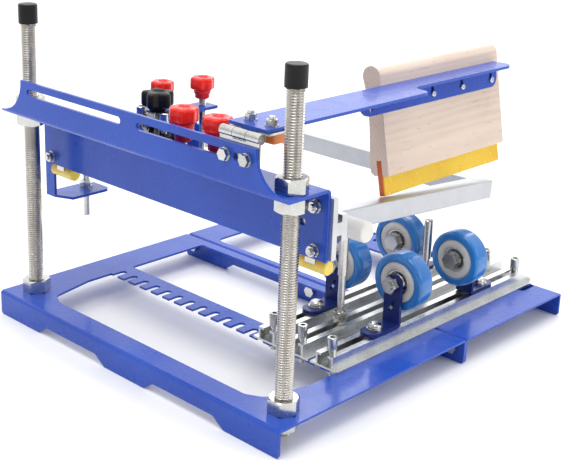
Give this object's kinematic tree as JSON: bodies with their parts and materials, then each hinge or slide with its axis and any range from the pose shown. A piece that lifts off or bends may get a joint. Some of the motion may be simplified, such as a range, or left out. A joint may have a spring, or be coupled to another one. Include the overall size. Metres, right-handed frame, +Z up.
{
  "type": "printing press",
  "caption": "Hand bench press for round goods: blue folded-steel base, two threaded columns, beam with a sliding screen frame and hinged squeegee, and rollers on slotted rails.",
  "frame": {"origin": "on the floor under the middle of the folded base", "axes": "+X along the beam, from the left column to the right; +Y from the beam to the rear of the base; +Z up"},
  "size_m": [0.354, 0.3905, 0.284],
  "materials": {
    "blue_paint": "gloss",
    "navy_paint": "gloss",
    "zinc": "bright plated",
    "steel": "machined",
    "black_steel": "satin",
    "aluminium": "extruded",
    "black_plastic": "satin",
    "red_plastic": "gloss",
    "white_plastic": "satin",
    "grey_plastic": "satin",
    "rubber": "matt",
    "blue_rubber": "smooth",
    "yellow_rubber": "smooth",
    "orange_rubber": "smooth",
    "wood": "planed and lacquered"
  },
  "bodies": {
    "base": {"base_front_plate": "blue_paint", "base_rear_plate": "blue_paint", "base_joint_fasteners": "zinc", "foot_pads": "rubber", "left_threaded_rod": "steel", "right_threaded_rod": "steel", "rod_caps": "black_plastic", "rod_base_nuts": "zinc", "left_rail": "aluminium", "middle_rail": "aluminium", "right_rail": "aluminium", "rail_fasteners": "zinc"},
    "beam_body": {"beam": "blue_paint", "beam_nuts": "zinc", "guide_rail": "aluminium", "left_bracket": "blue_paint", "adjusting_fasteners": "zinc", "web_fasteners": "zinc", "bumpers": "yellow_rubber", "bumper_saddles": "steel"},
    "carriage_body": {"carriage": "aluminium", "carriage_plate": "blue_paint", "carriage_bracket": "black_steel", "carriage_fasteners": "zinc", "clamp_bar": "steel", "screen_frame": "aluminium"},
    "lock_knob_body": {"lock_knob": "black_plastic"},
    "clamp_knob_left_body": {"clamp_knob_left": "red_plastic"},
    "clamp_knob_right_body": {"clamp_knob_right": "red_plastic"},
    "frame_knob_body": {"frame_knob": "white_plastic"},
    "flange_knob_left_body": {"flange_knob_left": "red_plastic"},
    "flange_knob_right_body": {"flange_knob_right": "red_plastic"},
    "hinge_mount_body": {"hinge_wall_leaf": "zinc", "hinge_wall_fasteners": "zinc", "hinge_pin": "zinc"},
    "arm_body": {"hinge_arm_leaf": "zinc", "hinge_arm_fasteners": "zinc", "squeegee_arm": "blue_paint", "arm_pad": "orange_rubber"},
    "squeegee_body": {"squeegee_handle": "wood", "squeegee_blade": "yellow_rubber", "squeegee_screws": "zinc"},
    "stop_pin_front_body": {"stop_pin_front": "steel"},
    "stop_pin_rear_body": {"stop_pin_rear": "steel"},
    "wheel_mount_front_right": {"wheel_bracket_front_right": "navy_paint", "wheel_bolts_front_right": "zinc"},
    "wheel_front_right": {"wheel_tyre_front_right": "blue_rubber", "wheel_hub_front_right": "grey_plastic"},
    "wheel_mount_front_left": {"wheel_bracket_front_left": "navy_paint", "wheel_bolts_front_left": "zinc"},
    "wheel_front_left": {"wheel_tyre_front_left": "blue_rubber", "wheel_hub_front_left": "grey_plastic"},
    "wheel_mount_rear_right": {"wheel_bracket_rear_right": "navy_paint", "wheel_bolts_rear_right": "zinc"},
    "wheel_rear_right": {"wheel_tyre_rear_right": "blue_rubber", "wheel_hub_rear_right": "grey_plastic"},
    "wheel_mount_rear_left": {"wheel_bracket_rear_left": "navy_paint", "wheel_bolts_rear_left": "zinc"},
    "wheel_rear_left": {"wheel_tyre_rear_left": "blue_rubber", "wheel_hub_rear_left": "grey_plastic"}
  },
  "joints": [
    {"name": "beam_height", "type": "slide", "parent": "base", "child": "beam_body", "axis": [0, 0, 1], "range_m": [-0.008, 0.05]},
    {"name": "carriage_slide", "type": "slide", "parent": "beam_body", "child": "carriage_body", "axis": [1, 0, 0], "range_m": [-0.066, 0.084]},
    {"name": "lock_knob_turn", "type": "hinge", "parent": "carriage_body", "child": "lock_knob_body", "pos_m": [-0.033, -0.128, 0.218], "axis": [0, 0, 1], "range_deg": [-180, 180]},
    {"name": "clamp_knob_left_turn", "type": "hinge", "parent": "carriage_body", "child": "clamp_knob_left_body", "pos_m": [-0.055, -0.103, 0.22], "axis": [0, 0, 1], "range_deg": [-180, 180]},
    {"name": "clamp_knob_right_turn", "type": "hinge", "parent": "carriage_body", "child": "clamp_knob_right_body", "pos_m": [-0.0057, -0.103, 0.232], "axis": [0, 0, 1], "range_deg": [-180, 180]},
    {"name": "frame_knob_turn", "type": "hinge", "parent": "carriage_body", "child": "frame_knob_body", "pos_m": [0.119, -0.06509, 0.13515], "axis": [1, 0, 0], "range_deg": [-180, 180]},
    {"name": "flange_knob_left_turn", "type": "hinge", "parent": "beam_body", "child": "flange_knob_left_body", "pos_m": [0.0398, -0.165, 0.225], "axis": [0, 0, 1], "range_deg": [-180, 180]},
    {"name": "flange_knob_right_turn", "type": "hinge", "parent": "beam_body", "child": "flange_knob_right_body", "pos_m": [0.0768, -0.165, 0.225], "axis": [0, 0, 1], "range_deg": [-180, 180]},
    {"name": "hinge_shift", "type": "slide", "parent": "beam_body", "child": "hinge_mount_body", "axis": [1, 0, 0], "range_m": [-0.0095, 0]},
    {"name": "arm_swing", "type": "hinge", "parent": "hinge_mount_body", "child": "arm_body", "pos_m": [0.1205, -0.183, 0.23], "axis": [1, 0, 0], "range_deg": [0, 95]},
    {"name": "squeegee_height", "type": "slide", "parent": "arm_body", "child": "squeegee_body", "axis": [-0.1908, 0, 0.9816], "range_m": [0, 0.004]},
    {"name": "stop_pin_front_slide", "type": "slide", "parent": "base", "child": "stop_pin_front_body", "axis": [0, 1, 0], "range_m": [-0.03, 0.03]},
    {"name": "stop_pin_rear_slide", "type": "slide", "parent": "base", "child": "stop_pin_rear_body", "axis": [0, 1, 0], "range_m": [-0.04, 0.08]},
    {"name": "wheel_mount_front_right_slide", "type": "slide", "parent": "base", "child": "wheel_mount_front_right", "axis": [0, 1, 0], "range_m": [-0.03, 0.02]},
    {"name": "wheel_front_right_spin", "type": "hinge", "parent": "wheel_mount_front_right", "child": "wheel_front_right", "pos_m": [0.129, 0.006, 0.072], "axis": [0, 1, 0], "continuous": true},
    {"name": "wheel_mount_front_left_slide", "type": "slide", "parent": "base", "child": "wheel_mount_front_left", "axis": [0, 1, 0], "range_m": [-0.03, 0.02]},
    {"name": "wheel_front_left_spin", "type": "hinge", "parent": "wheel_mount_front_left", "child": "wheel_front_left", "pos_m": [0.065, 0.005, 0.072], "axis": [0, 1, 0], "continuous": true},
    {"name": "wheel_mount_rear_right_slide", "type": "slide", "parent": "base", "child": "wheel_mount_rear_right", "axis": [0, 1, 0], "range_m": [-0.02, 0.038]},
    {"name": "wheel_rear_right_spin", "type": "hinge", "parent": "wheel_mount_rear_right", "child": "wheel_rear_right", "pos_m": [0.129, 0.087, 0.072], "axis": [0, 1, 0], "continuous": true},
    {"name": "wheel_mount_rear_left_slide", "type": "slide", "parent": "base", "child": "wheel_mount_rear_left", "axis": [0, 1, 0], "range_m": [-0.02, 0.038]},
    {"name": "wheel_rear_left_spin", "type": "hinge", "parent": "wheel_mount_rear_left", "child": "wheel_rear_left", "pos_m": [0.065, 0.086, 0.072], "axis": [0, 1, 0], "continuous": true}
  ]
}
